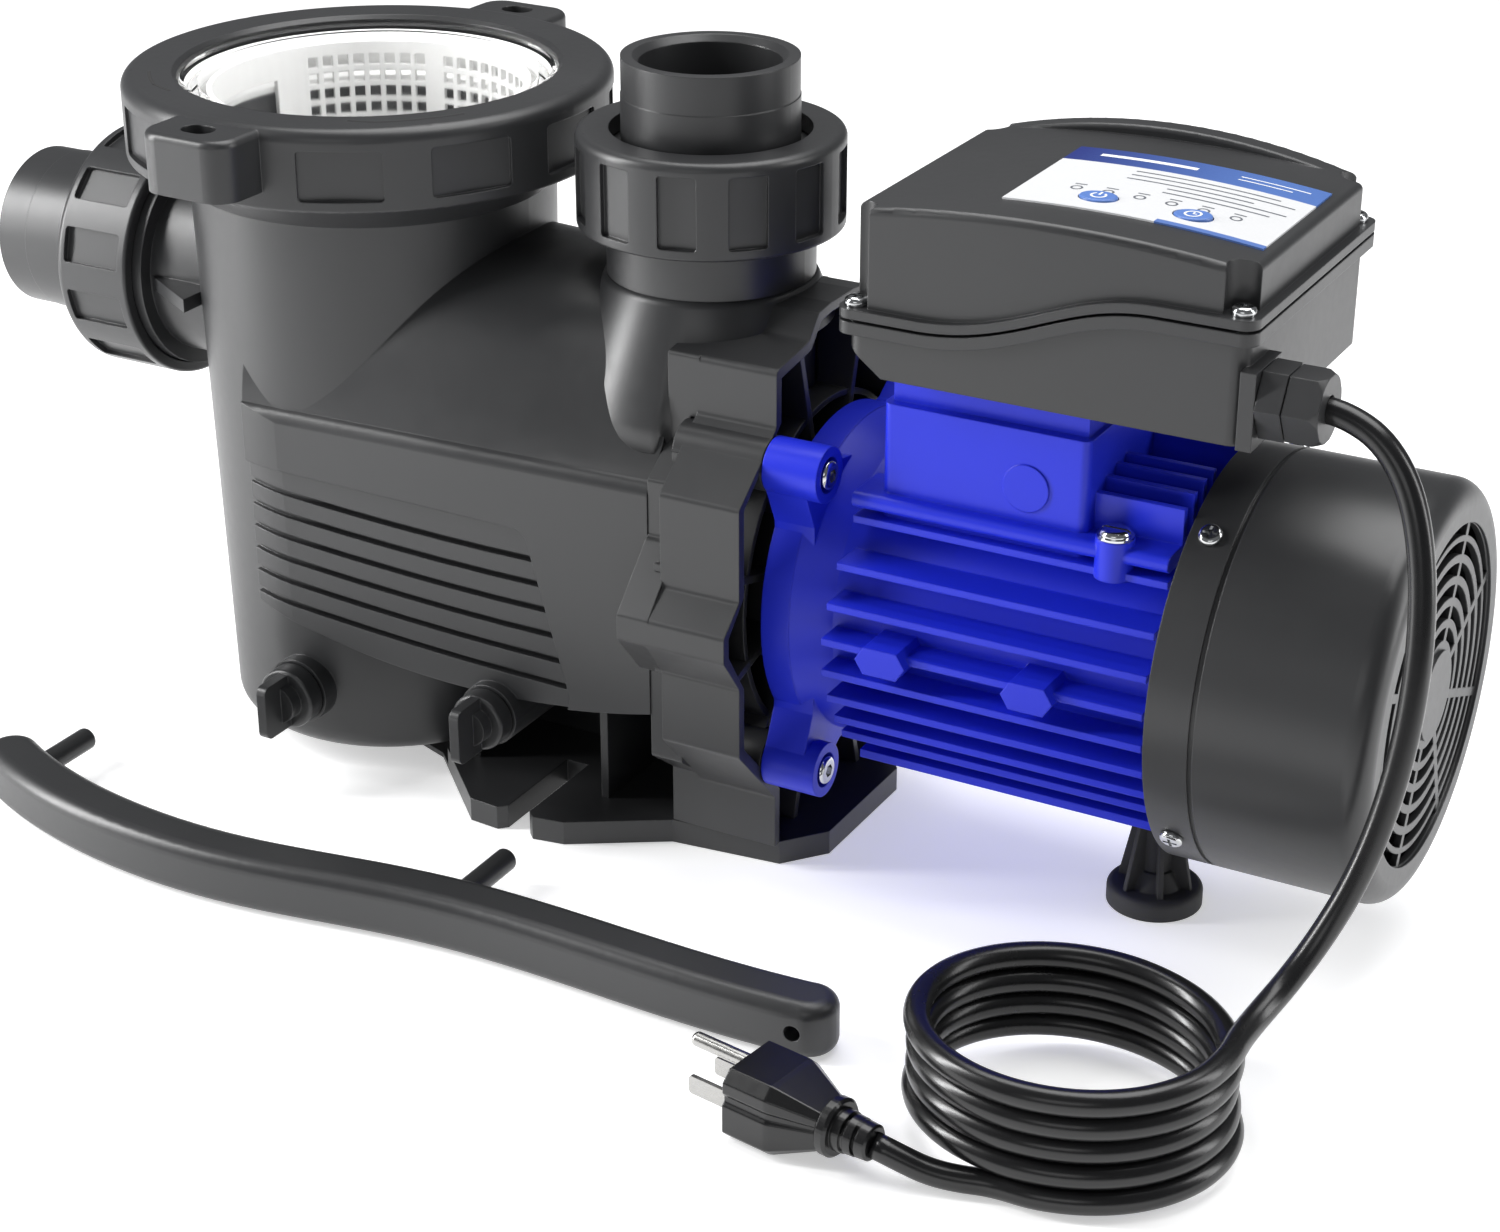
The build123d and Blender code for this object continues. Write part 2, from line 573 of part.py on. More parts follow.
# --- Junction box ---
def band_curve(shift):
    """The S-shaped parting line in (x, z), from the low end to the high end."""
    low = BAND_LOW_Z + shift
    high = BAND_HIGH_Z + shift
    middle = ((BOX_LEFT_X + BOX_RIGHT_X) / 2, (low + high) / 2)
    start = Line((BOX_LEFT_X - 2, low), (104, low))
    swing = Spline((104, low), middle, (184, high), tangents=((1, 0), (1, 0)))
    finish = Line((184, high), (BOX_RIGHT_X + 2, high))
    return start + swing + finish


def under_band(shift, floor_z):
    """Everything below the parting line, for cutting the box into base and lid."""
    right, left = BOX_RIGHT_X + 2, BOX_LEFT_X - 2
    rest = Polyline((right, BAND_HIGH_Z + shift), (right, floor_z),
                    (left, floor_z), (left, BAND_LOW_Z + shift))
    face = Plane.XZ * make_face(band_curve(shift) + rest)
    return extrude(face, 70, both=True)


def box_block(grow, z0, z1):
    inset = 3 - grow
    block = box(BOX_LEFT_X + inset, BOX_RIGHT_X - inset, -BOX_HALF + inset, BOX_HALF - inset, z0, z1)
    return fillet(block.edges().filter_by(Axis.Z), 5)


def lid_screw_holes():
    holes = None
    for x, z in LID_SCREWS:
        for side in (-1, 1):
            hole = rod_z(z - 8.1, z - 1.2, 1.85, x, side * (BOX_HALF - 6))
            holes = hole if holes is None else holes + hole
    return holes


def junction_base():
    block = box_block(0, BOX_BOTTOM_Z, 262)
    keel = prism_y(-80, 80, ((BOX_LEFT_X - 5, 180), (BOX_LEFT_X - 5, 210),
                             (BOX_LEFT_X + 16, BOX_BOTTOM_Z - 0.5), (BOX_LEFT_X + 16, 180)))
    walls = block & under_band(-BAND_HEIGHT / 2, 180)
    lip = box_block(3, 190, 262) & (under_band(-BAND_HEIGHT / 2, 180) - under_band(-BAND_HEIGHT, 170))
    cavity = box(BOX_LEFT_X + 6, BOX_RIGHT_X - 6, -BOX_HALF + 6, BOX_HALF - 6, BOX_BOTTOM_Z + 3, 262)
    ramp = prism_y(-80, 80, ((BOX_LEFT_X, 180), (BOX_LEFT_X, 217), (BOX_LEFT_X + 22, BOX_BOTTOM_Z + 3),
                             (BOX_LEFT_X + 22, 180)))
    boss = box(BOX_RIGHT_X - 4, BOX_RIGHT_X + 1, GLAND_Y - 11, GLAND_Y + 11,
               BOX_BOTTOM_Z, BOX_BOTTOM_Z + 25)
    shell = walls + lip + boss - keel - (cavity - ramp)
    return shell - rod_x(BOX_RIGHT_X - 12, BOX_RIGHT_X + 5, 7.9, GLAND_Y, GLAND_Z) - lid_screw_holes()


def crown_prism(proud, floor_z, half):
    """Everything under the lid's crowned top, raised by proud, down to floor_z."""
    left, right = BOX_LEFT_X - 5, BOX_RIGHT_X + 5
    low_left, low_right = LID_TOP_Z - 3.5 + proud, LID_TOP_Z - 2.5 + proud
    crown = ThreePointArc((left, low_left), (146, LID_TOP_Z + 3.0 + proud), (right, low_right))
    rest = Polyline((right, low_right), (right, floor_z), (left, floor_z), (left, low_left))
    return extrude(Plane.XZ * make_face(crown + rest), half, both=True)


def lid_rear_rim():
    """A low arched lip along the rear edge of the lid."""
    left = (BOX_LEFT_X + 5, LID_TOP_Z - 3)
    right = (BOX_RIGHT_X - 6, LID_TOP_Z - 2.5)
    arch = ThreePointArc(left, (142, LID_TOP_Z + 6.5), right)
    foot = Polyline(right, (right[0], 236), (left[0], 236), left)
    rim = Pos(0, 52, 0) * extrude(Plane.XZ * make_face(arch + foot), 4.4, both=True)
    return fillet(rim.faces().sort_by(Axis.Z)[-1].edges().filter_by(Axis.Y, reverse=True), 1.5)


def junction_lid():
    block = box_block(0, 190, LID_TOP_Z + 8) & crown_prism(0, 190, 70)
    block = fillet(block.faces().sort_by(Axis.Z)[-1].edges(), 2.4) + lid_rear_rim()
    upper = block - under_band(-BAND_HEIGHT / 2 + 1.0, 170)
    lip = box_block(3, 190, 262) & (under_band(0, 180) - under_band(-BAND_HEIGHT / 2 + 1.0, 170))
    lid = upper + lip
    cavity = box(BOX_LEFT_X + 6, BOX_RIGHT_X - 6, -BOX_HALF + 6, BOX_HALF - 6, 190, LID_TOP_Z - 7)
    for x, z in LID_SCREWS:
        for side in (-1, 1):
            notch = rod_z(z - 1.5, 270, 6.0, x, side * (BOX_HALF - 6))
            lid = lid - notch
            post = rod_z(z - 9, 270, 8.2, x, side * (BOX_HALF - 6))
            cavity = cavity - post
    lid = lid - cavity - lid_screw_holes()
    for x in BUTTON_X:
        lid = lid - button_blank(x, 0.35, LID_TOP_Z - 12, LID_TOP_Z + 6)
    return lid


def button_blank(x, grow, z0, z1):
    oval = Plane.XY.offset(z0) * Pos(x, BUTTON_Y, 0) * Ellipse(6.2 + grow, 5.0 + grow)
    return extrude(oval, z1 - z0)


def panel_top():
    """The control panel lies 0.6 mm proud of the lid's crown."""
    sheet = crown_prism(0.6, 240, 70) & box(123, 208, -35, 27, 240, 260)
    sheet = sheet - crown_prism(0, 235, 75)
    for x in BUTTON_X:
        sheet = sheet - button_blank(x, 0.35, 230, 270)
    return sheet


def lid_screws():
    screws = []
    for x, z in LID_SCREWS:
        for side in (-1, 1):
            y = side * (BOX_HALF - 6)
            head = rod_z(z - 1.4, z + 1.4, 3.9, x, y)
            head = fillet(head.edges().sort_by(Axis.Z)[-1], 1.8)
            shank = rod_z(z - 8, z - 1.3, 1.8, x, y)
            cross = box(x - 2.4, x + 2.4, y - 0.5, y + 0.5, z + 0.2, z + 3)
            cross = cross + box(x - 0.5, x + 0.5, y - 2.4, y + 2.4, z + 0.2, z + 3)
            screws.append(head + shank - cross)
    return screws


def cable_gland():
    body = rod_x(BOX_RIGHT_X - 9, BOX_RIGHT_X + 2, 7.7, GLAND_Y, GLAND_Z)
    hexagon = Plane.YZ.offset(BOX_RIGHT_X + 1.3) * Pos(GLAND_Y, GLAND_Z) * RegularPolygon(12.4, 6)
    body = body + extrude(hexagon, 8)
    return body - rod_x(BOX_RIGHT_X - 12, BOX_RIGHT_X + 12, CORD_R + 0.3, GLAND_Y, GLAND_Z)


def gland_nut():
    x0 = BOX_RIGHT_X + 9.6
    hexagon = Plane.YZ.offset(x0) * Pos(GLAND_Y, GLAND_Z) * RegularPolygon(12.0, 6)
    nut = extrude(hexagon, 11) & (Pos(x0 + 6, GLAND_Y, GLAND_Z) * Rot(0, 90, 0) * Cone(17, 9.5, 14))
    return nut - rod_x(x0 - 1, x0 + 13, CORD_R + 0.15, GLAND_Y, GLAND_Z)


# --- Cord ---
DROP_ROUTE = ((230, -45, 208.5), (241, -45.6, 208), (253.5, -47.5, 203), (264, -51, 191), (271, -56, 172),
              (275, -62.5, 148), (275.5, -69, 122), (273, -75.5, 97), (268, -82.5, 75), (261, -91, 57),
              (255, -102, 45.5), (251.6, -115, 41), (250.6, -128, 40))
LEAD_ROUTE = ((197, -182.4, 4.3), (187, -185.8, 4.5), (178.5, -188.4, 5.9), (170.5, -190.2, 8.9),
              (162.2, -191.7, 12.0))


def corner_radii(points):
    radii = []
    for before, here, after in zip(points, points[1:], points[2:]):
        a = Vector(*here) - Vector(*before)
        b = Vector(*after) - Vector(*here)
        turn = math.radians(a.get_angle(b))
        radii.append(0.45 * min(a.length, b.length) / math.tan(turn / 2))
    return radii


def cord_tube(name, points):
    radii = corner_radii(points)
    path = FilletPolyline(*points, radius=radii)
    start = Plane(path @ 0, z_dir=path % 0)
    tube = sweep(start * Circle(CORD_R), path)
    print(name, "radii", [round(r, 1) for r in radii], "length", round(path.length, 1),
          "volume ratio", round(tube.volume / (path.length * math.pi * CORD_R ** 2), 4))
    return tube


def cord_coil():
    height = 2 * CORD_R * COIL_TURNS
    outer = Pos(COIL_X, COIL_Y) * Ellipse(COIL_HALF_X + CORD_R, COIL_HALF_Y + CORD_R)
    inner = Pos(COIL_X, COIL_Y) * Ellipse(COIL_HALF_X - CORD_R, COIL_HALF_Y - CORD_R)
    return Pos(0, 0, 0.1) * extrude(outer - inner, height)


def plug_frame():
    """The plug's own X runs from its face back along the cord."""
    tail = LEAD_ROUTE[-1]
    heading = Vector(tail[0] - PLUG_FACE[0], tail[1] - PLUG_FACE[1], 0)
    return Plane((PLUG_FACE[0], PLUG_FACE[1], PLUG_Z), x_dir=heading, z_dir=(0, 0, 1)).location


def plug_body():
    back = Plane.YZ.offset(31) * RectangleRounded(15, 14, 4)
    front = Plane.YZ.offset(5) * RectangleRounded(27, 24, 6)
    head = extrude(Plane.YZ * RectangleRounded(27, 24, 6), 5.2)
    return plug_frame() * (head + loft([front, back]))


def plug_strain_relief():
    collar = Pos(33.2, 0, 0) * Rot(0, 90, 0) * Cylinder(9.5, 4)
    sleeve = Pos(40.5, 0, 0) * Rot(0, 90, 0) * Cone(6.6, 5.0, 11)
    relief = collar + sleeve - Pos(44, 0, 0) * Rot(0, 90, 0) * Cylinder(CORD_R - 0.05, 8)
    return plug_frame() * relief


def plug_blades():
    blades = []
    for y in (-6.35, 6.35):
        blade = Pos(-9, y, -2.6) * Box(18, 1.5, 6.3)
        blade = fillet(blade.edges().filter_by(Axis.Y).group_by(Axis.X)[0], 1.2)
        blades.append(plug_frame() * blade)
    return blades


def plug_ground_pin():
    pin = Pos(-10.7, 0, 9.2) * Rot(0, 90, 0) * Cylinder(2.4, 21.4)
    return plug_frame() * fillet(pin.edges().sort_by(Axis.X)[0], 1.6)


# --- Lid wrench ---
WRENCH_LINE = ((-222, -131), (-163, -149.5), (-104, -151.5), (-50, -143), (-17, -139.5), (20, -139.3),
               (113, -139.2))


def lid_wrench():
    spine = Spline(*WRENCH_LINE)
    section = Plane(spine @ 0, x_dir=(0, 0, 1), z_dir=spine % 0) * RectangleRounded(20, 19.6, 5)
    bar = sweep(section, spine)
    for end in (WRENCH_LINE[0], WRENCH_LINE[-1]):
        knob = rod_z(-10, 10, 9.8, *end)
        bar = bar + fillet(knob.edges().filter_by(GeomType.CIRCLE), 4.9)
    bar = Pos(0, 0, 10.2) * bar
    for x in WRENCH_PEG_X:
        peg = rod_y(-142, -99.5, 4.2, x, 10.2)
        bar = bar + fillet(peg.edges().sort_by(Axis.Y)[-1], 1.5)
    return bar - rod_y(-160, -120, 2.8, 112, 10.2)


# --- Inside the motor and the junction box ---
def motor_shaft():
    shaft = rod_x(-24, 246, SHAFT_R - 0.02)
    step = rod_x(85, 180, 9)
    return shaft + step


def bearing(x0, x1, outer):
    race = tube_x(x0, x1, outer, outer - 3.4)
    inner = tube_x(x0, x1, SHAFT_R + 3.4, SHAFT_R)
    balls = []
    for k in range(8):
        ball = Pos(0, 0, (outer + SHAFT_R) / 2) * Sphere(3.0)
        balls.append(Pos((x0 + x1) / 2, 0, SHAFT_Z) * Rot(45 * k, 0, 0) * ball)
    return [race, inner] + balls


def rear_shield():
    disc = rod_x(COVER_X - 2.5, COVER_X + 5, 58) - rod_x(COVER_X - 3, COVER_X + 6, 8.5)
    seat = tube_x(COVER_X - 14, COVER_X - 2.4, 24, 16.02)
    rim = tube_x(COVER_X + 3.1, COVER_X + 11, COVER_R - 2.7, 50)
    return disc + seat + rim - cover_screw_holes()


def winding(x0, x1):
    return tube_x(x0, x1, 46, 33.5)


def through_bolts():
    bolts = []
    for dy in (-EAR_Y, EAR_Y):
        for dz in (-EAR_RISE, EAR_RISE):
            shank = rod_x(24, 69, 2.95, dy, SHAFT_Z + dz)
            head = rod_x(68.1, 72.3, 5.0, dy, SHAFT_Z + dz)
            head = fillet(head.edges().sort_by(Axis.X)[-1], 1.4)
            socket = Plane.YZ.offset(70.3) * Pos(dy, SHAFT_Z + dz) * RegularPolygon(2.4, 6)
            bolts.append(shank + head - extrude(socket, 4))
    return bolts


def ground_screw():
    head = rod_z(153.6, 156.4, 5.2, 170.5, -45)
    head = fillet(head.edges().sort_by(Axis.Z)[-1], 1.8)
    washer = rod_z(153.5, 154.3, 6.0, 170.5, -45)
    slot = box(165, 176, -45.6, -44.4, 155.4, 158)
    return head + washer - slot


def control_board():
    board = box(122, 206, -40, 34, 234, 235.6)
    relay = box(132, 150, 2, 26, 235.5, 243)
    module = box(164, 196, 0, 24, 235.5, 241)
    switches = box(145.5, 154.5, -27.5, -18.5, 235.5, 239) + box(176.5, 185.5, -27.5, -18.5, 235.5, 239)
    return board + relay + module + switches


def panel_button(x, top_z):
    cap = button_blank(x, 0.0, LID_TOP_Z - 9.5, top_z)
    cap = fillet(cap.edges().sort_by(Axis.Z)[-1], 0.7)
    return cap + box(x - 3, x + 3, BUTTON_Y - 3, BUTTON_Y + 3, LID_TOP_Z - 10.5, LID_TOP_Z - 9.4)


def save_pump_end():
    save("pump_body", pump_body())
    save("base_plate", base_plate())
    save("seal_bracket", seal_bracket())
    save("diffuser", diffuser())
    save("impeller", impeller())
    save("volute_oring", ring_x(8.2, 55.5, 1.15))
    save("seal_seat", tube_x(-0.9, 6.2, 19.2, 9.3))
    save("seal_head", tube_x(-8.3, -1.3, 15.5, SHAFT_R))


def save_unions():
    upright = Pos(0, 0, DISCHARGE_NUT_Z)
    sideways = Pos(SUCTION_NUT_X, 0, SUCTION_Z) * Rot(0, -90, 0)
    for prefix, place, reach in (("discharge", upright, DISCHARGE_TOP_Z - DISCHARGE_NUT_Z),
                                 ("suction", sideways, SUCTION_NUT_X - SUCTION_END_X)):
        union(prefix, place, reach - 21.6)


def save_strainer():
    save("lock_ring", lock_ring())
    save("strainer_lid", strainer_lid())
    save("lid_oring", Pos(POT_X, 0, 239.1) * Torus(70.5, 1.9))
    save("strainer_basket", strainer_basket())
    save("pot_drain_plug", drain_plug(POT_DRAIN_X, -68.8, 34, 11.5))
    save("pot_drain_oring", Pos(POT_DRAIN_X, -68.4, 34) * Rot(90, 0, 0) * Torus(8.2, 0.28))
    save("volute_drain_plug", drain_plug(VOLUTE_DRAIN_X, -66.8, 44, 10.5))
    save("volute_drain_oring", Pos(VOLUTE_DRAIN_X, -66.4, 44) * Rot(90, 0, 0) * Torus(8.2, 0.28))


def save_motor():
    save("motor_housing", motor_housing())
    save("through_bolts", through_bolts())
    save("stator_core", tube_x(96, 166, 47.45, 30.5))
    save("stator_windings", [winding(80, 95.9), winding(166.1, 182)])
    save("rotor_core", tube_x(97, 165, 29.8, 9.0))
    save("motor_shaft", motor_shaft())
    save("front_bearing", bearing(52, 63, 19.98))
    save("rear_bearing", bearing(181, 190, 16))
    save("rear_shield", rear_shield())
    save("cooling_fan", cooling_fan())
    save("fan_cover", fan_cover())
    save("fan_cover_screws", cover_screws())
    save("ground_screw", ground_screw())
    save("support_foot", support_foot())


def save_junction_box():
    save("junction_base", junction_base())
    save("junction_lid", junction_lid())
    save("junction_screws", lid_screws())
    save("control_panel", panel_top())
    save("power_button", panel_button(BUTTON_X[0], BUTTON_TOP_Z[0]))
    save("timer_button", panel_button(BUTTON_X[1], BUTTON_TOP_Z[1]))
    save("control_board", control_board())
    save("run_capacitor", rod_x(98, 142, 12, -26, 212))
    save("terminal_block", box(160, 196, 4, 26, BOX_BOTTOM_Z + 3.05, 214))
    save("cable_gland", cable_gland())
    save("gland_nut", gland_nut())


def save_cord():
    save("cord_drop", cord_tube("cord_drop", DROP_ROUTE))
    save("cord_lead", cord_tube("cord_lead", LEAD_ROUTE))
    save("cord_coil", cord_coil())
    save("plug_body", plug_body())
    save("plug_strain_relief", plug_strain_relief())
    save("plug_blades", plug_blades())
    save("plug_ground_pin", plug_ground_pin())
    save("lid_wrench", lid_wrench())


save_pump_end()
save_unions()
save_strainer()
save_motor()
save_junction_box()
save_cord()
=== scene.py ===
import json
import math
import bmesh
import bpy
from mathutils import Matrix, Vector
from mathutils.bvhtree import BVHTree


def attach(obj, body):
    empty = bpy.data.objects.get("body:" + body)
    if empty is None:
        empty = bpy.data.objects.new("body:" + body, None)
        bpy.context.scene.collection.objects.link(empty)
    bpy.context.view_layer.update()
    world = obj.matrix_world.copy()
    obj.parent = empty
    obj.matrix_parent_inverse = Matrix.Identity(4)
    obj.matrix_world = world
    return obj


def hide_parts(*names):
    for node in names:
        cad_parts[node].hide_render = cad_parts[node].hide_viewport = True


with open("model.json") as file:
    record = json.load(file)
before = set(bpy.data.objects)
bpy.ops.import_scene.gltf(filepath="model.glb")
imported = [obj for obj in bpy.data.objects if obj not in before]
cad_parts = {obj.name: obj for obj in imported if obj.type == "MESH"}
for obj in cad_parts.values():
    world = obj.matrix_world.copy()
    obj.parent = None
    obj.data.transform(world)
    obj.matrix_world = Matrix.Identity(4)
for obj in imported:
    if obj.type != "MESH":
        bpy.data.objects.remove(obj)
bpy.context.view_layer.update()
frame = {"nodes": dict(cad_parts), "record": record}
NODES = frame["nodes"]

# Lengths are in millimetres where MM follows, and in metres elsewhere.
MM = 0.001
POT_X = -140.0


# --- Material nodes ---
def node(tree, kind, **inputs):
    """Adds a shader node; each input is a socket to link or a value to set."""
    made = tree.nodes.new("ShaderNode" + kind)
    for key, value in inputs.items():
        name = key.replace("_", " ")
        if hasattr(made, key) and name not in made.inputs:
            setattr(made, key, value)
        elif isinstance(value, bpy.types.NodeSocket):
            tree.links.new(value, made.inputs[name])
        else:
            made.inputs[name].default_value = value
    return made


def noise(tree, place, scale, detail=3.0):
    return node(tree, "TexNoise", Vector=place, Scale=scale, Detail=detail).outputs["Fac"]


def ramp(tree, fac, low, high, to_low=0.0, to_high=1.0):
    """Maps low..high onto to_low..to_high, and clamps outside."""
    made = node(tree, "MapRange", Value=fac)
    for name, value in (("From Min", low), ("From Max", high), ("To Min", to_low), ("To Max", to_high)):
        made.inputs[name].default_value = value
    return made.outputs["Result"]


def mix(tree, fac, first, second):
    """A colour between first and second, each a colour or a socket."""
    made = tree.nodes.new("ShaderNodeMix")
    made.data_type = "RGBA"
    for socket, value in ((made.inputs[0], fac), (made.inputs[6], first), (made.inputs[7], second)):
        if isinstance(value, bpy.types.NodeSocket):
            tree.links.new(value, socket)
        else:
            socket.default_value = value
    return made.outputs[2]


def grey(value):
    return (value, value, value, 1.0)


def start(name):
    """A new material, with its node tree, its shader and the place on the object, in metres."""
    material = bpy.data.materials.new(name)
    material.use_nodes = True
    tree = material.node_tree
    shader = tree.nodes["Principled BSDF"]
    place = tree.nodes.new("ShaderNodeTexCoord").outputs["Object"]
    return material, tree, shader, place


def finish_of(name, colour, second, rough, grain=1400.0, depth=0.03, edge=0.8, spread=0.08,
              edge_highlight=0.25, **constants):
    """A moulded, cast or painted finish: mottled colour, uneven gloss, fine grain, soft rounded edges with
    a painted highlight along them.
    """
    material, tree, shader, place = start(name)
    broad = noise(tree, place, 9.0, 4.0)
    fine = noise(tree, place, 260.0, 2.0)
    tint = mix(tree, ramp(tree, broad, 0.3, 0.7), colour, second)
    rounded = node(tree, "Bevel", Radius=edge * MM)
    rounded.samples = 4
    flat = tree.nodes.new("ShaderNodeNewGeometry").outputs["Normal"]
    facing = tree.nodes.new("ShaderNodeVectorMath")
    facing.operation = "DOT_PRODUCT"
    tree.links.new(rounded.outputs["Normal"], facing.inputs[0])
    tree.links.new(flat, facing.inputs[1])
    # Painted highlight: the colour turns lighter along edges, where the rounded normal leans away from the
    # flat one.
    highlight_mask = ramp(tree, facing.outputs["Value"], 0.97, 0.7, 0.0, edge_highlight)
    highlight_colour = [min(1.0, c * 1.6 + 0.02) for c in colour[:3]] + [1.0]
    tree.links.new(mix(tree, highlight_mask, tint, highlight_colour), shader.inputs["Base Color"])
    uneven = ramp(tree, broad, 0.25, 0.75, rough - spread, rough + spread)
    speckled = node(tree, "Math")
    speckled.operation = "MULTIPLY_ADD"
    tree.links.new(fine, speckled.inputs[0])
    speckled.inputs[1].default_value = 0.06
    tree.links.new(uneven, speckled.inputs[2])
    tree.links.new(speckled.outputs[0], shader.inputs["Roughness"])
    bump = node(tree, "Bump", Strength=0.5, Distance=depth * MM, Height=noise(tree, place, grain, 3.0),
                Normal=rounded.outputs["Normal"])
    tree.links.new(bump.outputs["Normal"], shader.inputs["Normal"])
    for key, value in constants.items():
        shader.inputs[key.replace("_", " ")].default_value = value
    return material


def brushed(name, colour, rough, stretch=(40.0, 900.0, 900.0)):
    """Machined or drawn metal with fine lines along the axis that stretch has least of."""
    material, tree, shader, place = start(name)
    lines = node(tree, "Mapping", Vector=place, Scale=stretch).outputs["Vector"]
    streak = noise(tree, lines, 3.0, 4.0)
    darker = [c * 0.72 for c in colour[:3]] + [1.0]
    tree.links.new(mix(tree, streak, darker, colour), shader.inputs["Base Color"])
    tree.links.new(ramp(tree, streak, 0.2, 0.8, rough * 0.7, rough * 1.4), shader.inputs["Roughness"])
    bump = node(tree, "Bump", Strength=0.3, Distance=0.02 * MM, Height=streak)
    tree.links.new(bump.outputs["Normal"], shader.inputs["Normal"])
    shader.inputs["Metallic"].default_value = 1.0
    return material


def clear_lid():
    material, tree, shader, place = start("clear_plastic")
    haze = noise(tree, place, 60.0, 3.0)
    tree.links.new(mix(tree, haze, grey(0.93), grey(0.99)), shader.inputs["Base Color"])
    tree.links.new(ramp(tree, haze, 0.3, 0.7, 0.02, 0.07), shader.inputs["Roughness"])
    shader.inputs["Transmission Weight"].default_value = 1.0
    shader.inputs["IOR"].default_value = 1.12
    return material


def label_print():
    """White label with a blue band along its rear edge and a short one at its front right."""
    dark_blue, mid_blue, strip_blue = (0.008, 0.022, 0.17, 1), (0.07, 0.15, 0.42, 1), (0.09, 0.17, 0.45, 1)
    band_y, strip_y, strip_x, blur = 0.01200, -0.03210, 0.1730, 0.0001
    material, tree, shader, place = start("panel_print")
    axes = node(tree, "SeparateXYZ", Vector=place).outputs
    fleck = noise(tree, place, 900.0, 2.0)
    paper = mix(tree, fleck, (0.64, 0.65, 0.66, 1), (0.70, 0.70, 0.71, 1))
    deep = mix(tree, ramp(tree, axes["X"], 0.125, 0.19), dark_blue, mid_blue)
    band = ramp(tree, axes["Y"], band_y, band_y + blur)
    shown = mix(tree, band, paper, deep)
    front = node(tree, "Math", Value=ramp(tree, axes["Y"], strip_y, strip_y - blur))
    front.operation = "MULTIPLY"
    tree.links.new(ramp(tree, axes["X"], strip_x, strip_x + blur), front.inputs[1])
    shown = mix(tree, front.outputs[0], shown, strip_blue)
    tree.links.new(shown, shader.inputs["Base Color"])
    tree.links.new(ramp(tree, fleck, 0.3, 0.7, 0.28, 0.36), shader.inputs["Roughness"])
    return material


# In each finish below, the strength of the lighter edges sets a painted highlight along its edges.
MATERIALS = {
    "black_plastic": finish_of("black_plastic", (0.021, 0.0215, 0.0225, 1), (0.026, 0.0265, 0.028, 1),
                               0.34, edge=0.6, spread=0.05, edge_highlight=0.5, Specular_IOR_Level=0.55),
    "inner_plastic": finish_of("inner_plastic", (0.060, 0.062, 0.066, 1), (0.072, 0.074, 0.078, 1), 0.5),
    "clear_plastic": clear_lid(),
    "white_plastic": finish_of("white_plastic", (0.86, 0.86, 0.85, 1), (0.80, 0.80, 0.79, 1), 0.38,
                               grain=900.0, edge_highlight=0.0),
    "blue_paint": finish_of("blue_paint", (0.014, 0.028, 0.62, 1), (0.012, 0.023, 0.53, 1), 0.36,
                            grain=520.0, depth=0.05, edge=0.7, edge_highlight=0.12, Specular_IOR_Level=0.32),
    "cast_metal": finish_of("cast_metal", (0.42, 0.42, 0.43, 1), (0.33, 0.33, 0.34, 1), 0.5,
                            grain=500.0, depth=0.08, Metallic=0.9),
    "steel": brushed("steel", (0.62, 0.62, 0.63, 1), 0.28),
    "copper": brushed("copper", (0.74, 0.34, 0.17, 1), 0.3, (900.0, 60.0, 60.0)),
    "chrome": brushed("chrome", (0.66, 0.67, 0.68, 1), 0.14),
    "nickel": brushed("nickel", (0.46, 0.455, 0.44, 1), 0.24),
    "rubber": finish_of("rubber", (0.018, 0.018, 0.019, 1), (0.026, 0.026, 0.027, 1), 0.62,
                        grain=800.0, depth=0.06),
    "seal_face": finish_of("seal_face", (0.70, 0.69, 0.66, 1), (0.62, 0.61, 0.58, 1), 0.3,
                           grain=600.0),
    "panel_print": label_print(),
    "button_blue": finish_of("button_blue", (0.10, 0.20, 0.52, 1), (0.08, 0.17, 0.47, 1), 0.3,
                             grain=700.0, edge=0.4, edge_highlight=0.1),
    "circuit_board": finish_of("circuit_board", (0.02, 0.16, 0.06, 1), (0.015, 0.12, 0.05, 1), 0.4,
                               grain=500.0),
    "cord_jacket": finish_of("cord_jacket", (0.005, 0.005, 0.0055, 1), (0.007, 0.007, 0.0075, 1), 0.22,
                             grain=700.0, depth=0.02, edge=0.4, edge_highlight=0.1, spread=0.03,
                             Specular_IOR_Level=0.5),
    "print_white": finish_of("print_white", (0.85, 0.86, 0.88, 1), (0.80, 0.81, 0.83, 1), 0.35,
                             edge_highlight=0.0),
    "print_grey": finish_of("print_grey", (0.13, 0.14, 0.16, 1), (0.10, 0.11, 0.13, 1), 0.4, edge_highlight=0.0),
    # Painted shade: this colour is darker than the ring to stand for the shade inside engraved grooves,
    # which are not modelled.
    "engraved": finish_of("engraved", (0.008, 0.008, 0.008, 1), (0.012, 0.012, 0.012, 1), 0.7, edge_highlight=0.0),
}


def paint(obj, slot):
    obj.data.materials.clear()
    obj.data.materials.append(MATERIALS[slot])


def paint_cad_nodes():
    for part in frame["record"]["subparts"]:
        paint(NODES[part["node"]], part["material_slot"])
    NODES["strainer_lid"].visible_shadow = False


# --- Cord ---
CORD_R = 4.15 * MM
CORD_SIDES = 24
# From the gland down to the top of the coil.
DROP_ROUTE = ((230, -45, 208.5), (241, -45.6, 208), (253.5, -47.5, 203), (264, -51, 191), (271, -56, 172),
              (275, -62.5, 148), (275.5, -69, 122), (273, -75.5, 97), (268, -82.5, 75), (261, -91, 57),
              (255, -102, 45.5), (251.6, -115, 41), (250.6, -128, 40.0))
